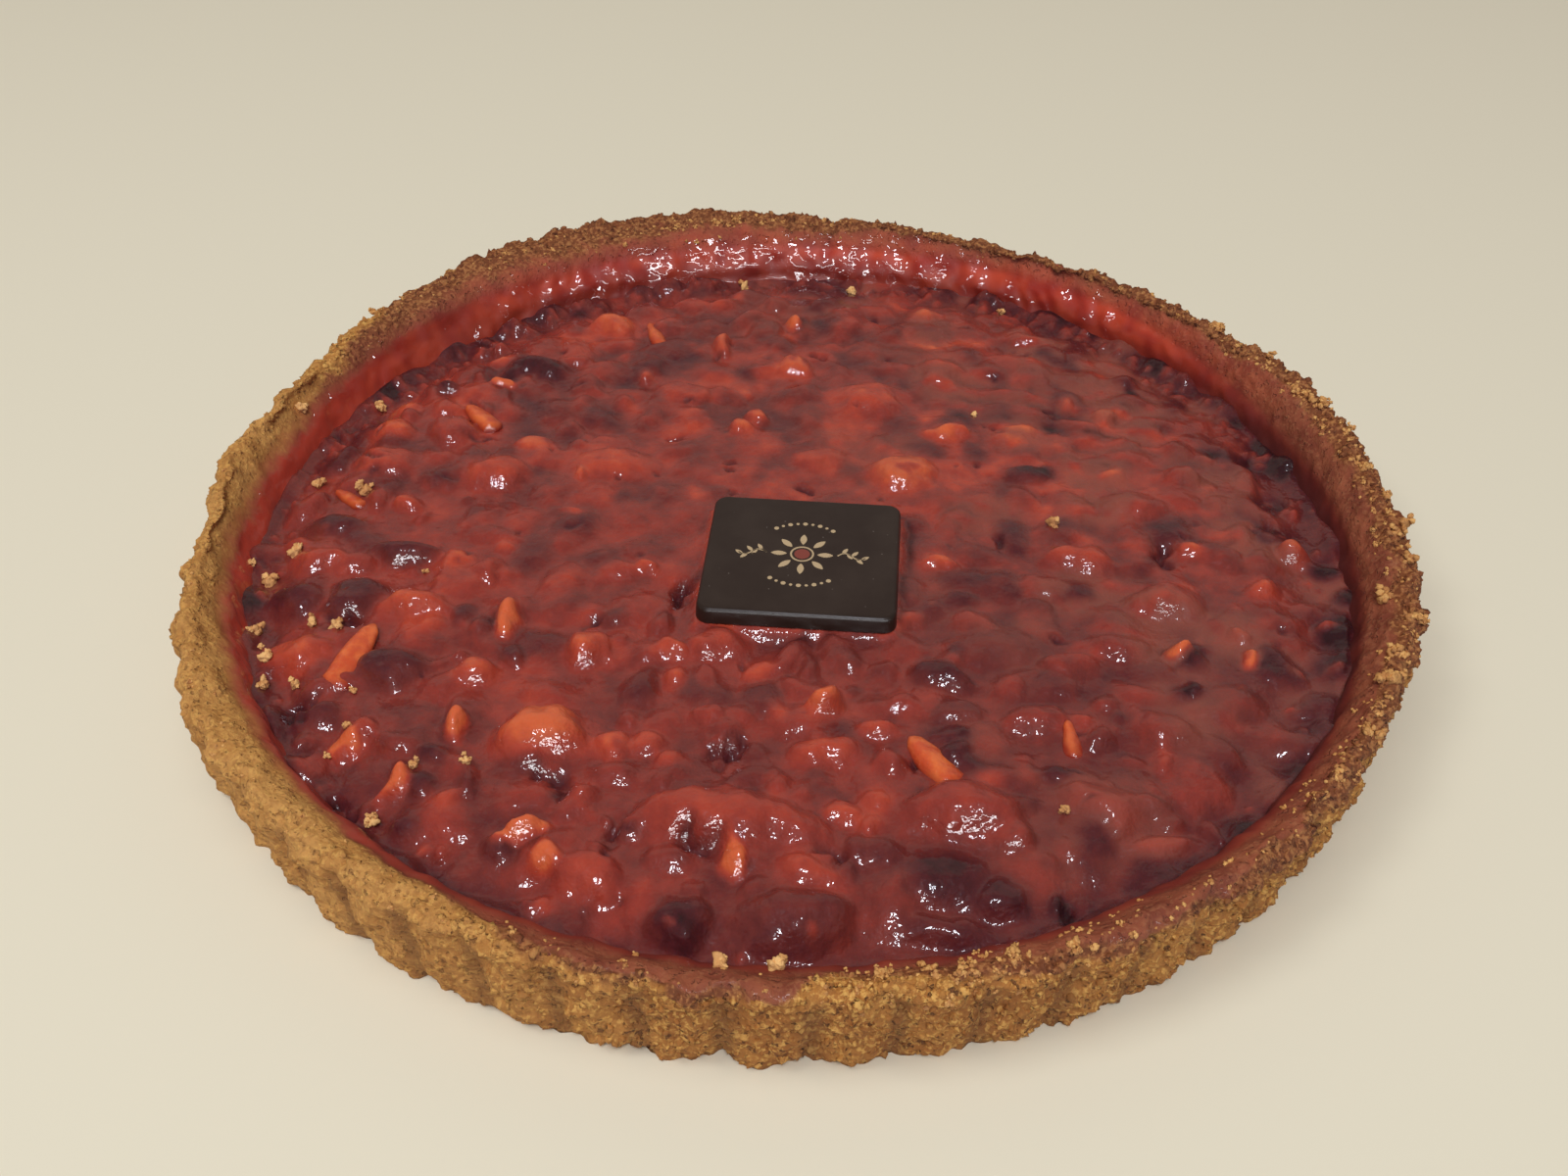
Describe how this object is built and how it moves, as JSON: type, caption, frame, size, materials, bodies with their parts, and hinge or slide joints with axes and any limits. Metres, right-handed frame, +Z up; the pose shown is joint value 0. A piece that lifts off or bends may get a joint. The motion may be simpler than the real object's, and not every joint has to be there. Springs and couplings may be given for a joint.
{
  "type": "praline tart",
  "caption": "Round tart: a fluted shortcrust case filled with a lumpy glazed praline filling, with a square chocolate plaque lying on top.",
  "frame": {"origin": "middle of the flat underside, where the tart stands", "axes": "+Z up through the tart, -Y to the front, the side nearer the plaque, +X to the right"},
  "size_m": [0.2388, 0.2447, 0.0263],
  "materials": {
    "baked_shortcrust": "matte, crumbly, golden brown, glazed red where the filling has run over it",
    "praline_filling": "glossy red-brown glaze over nut pieces",
    "dark_chocolate": "satin dark chocolate"
  },
  "bodies": {
    "root": {"crust": "baked_shortcrust", "filling": "praline_filling", "plaque": "dark_chocolate"}
  },
  "joints": []
}
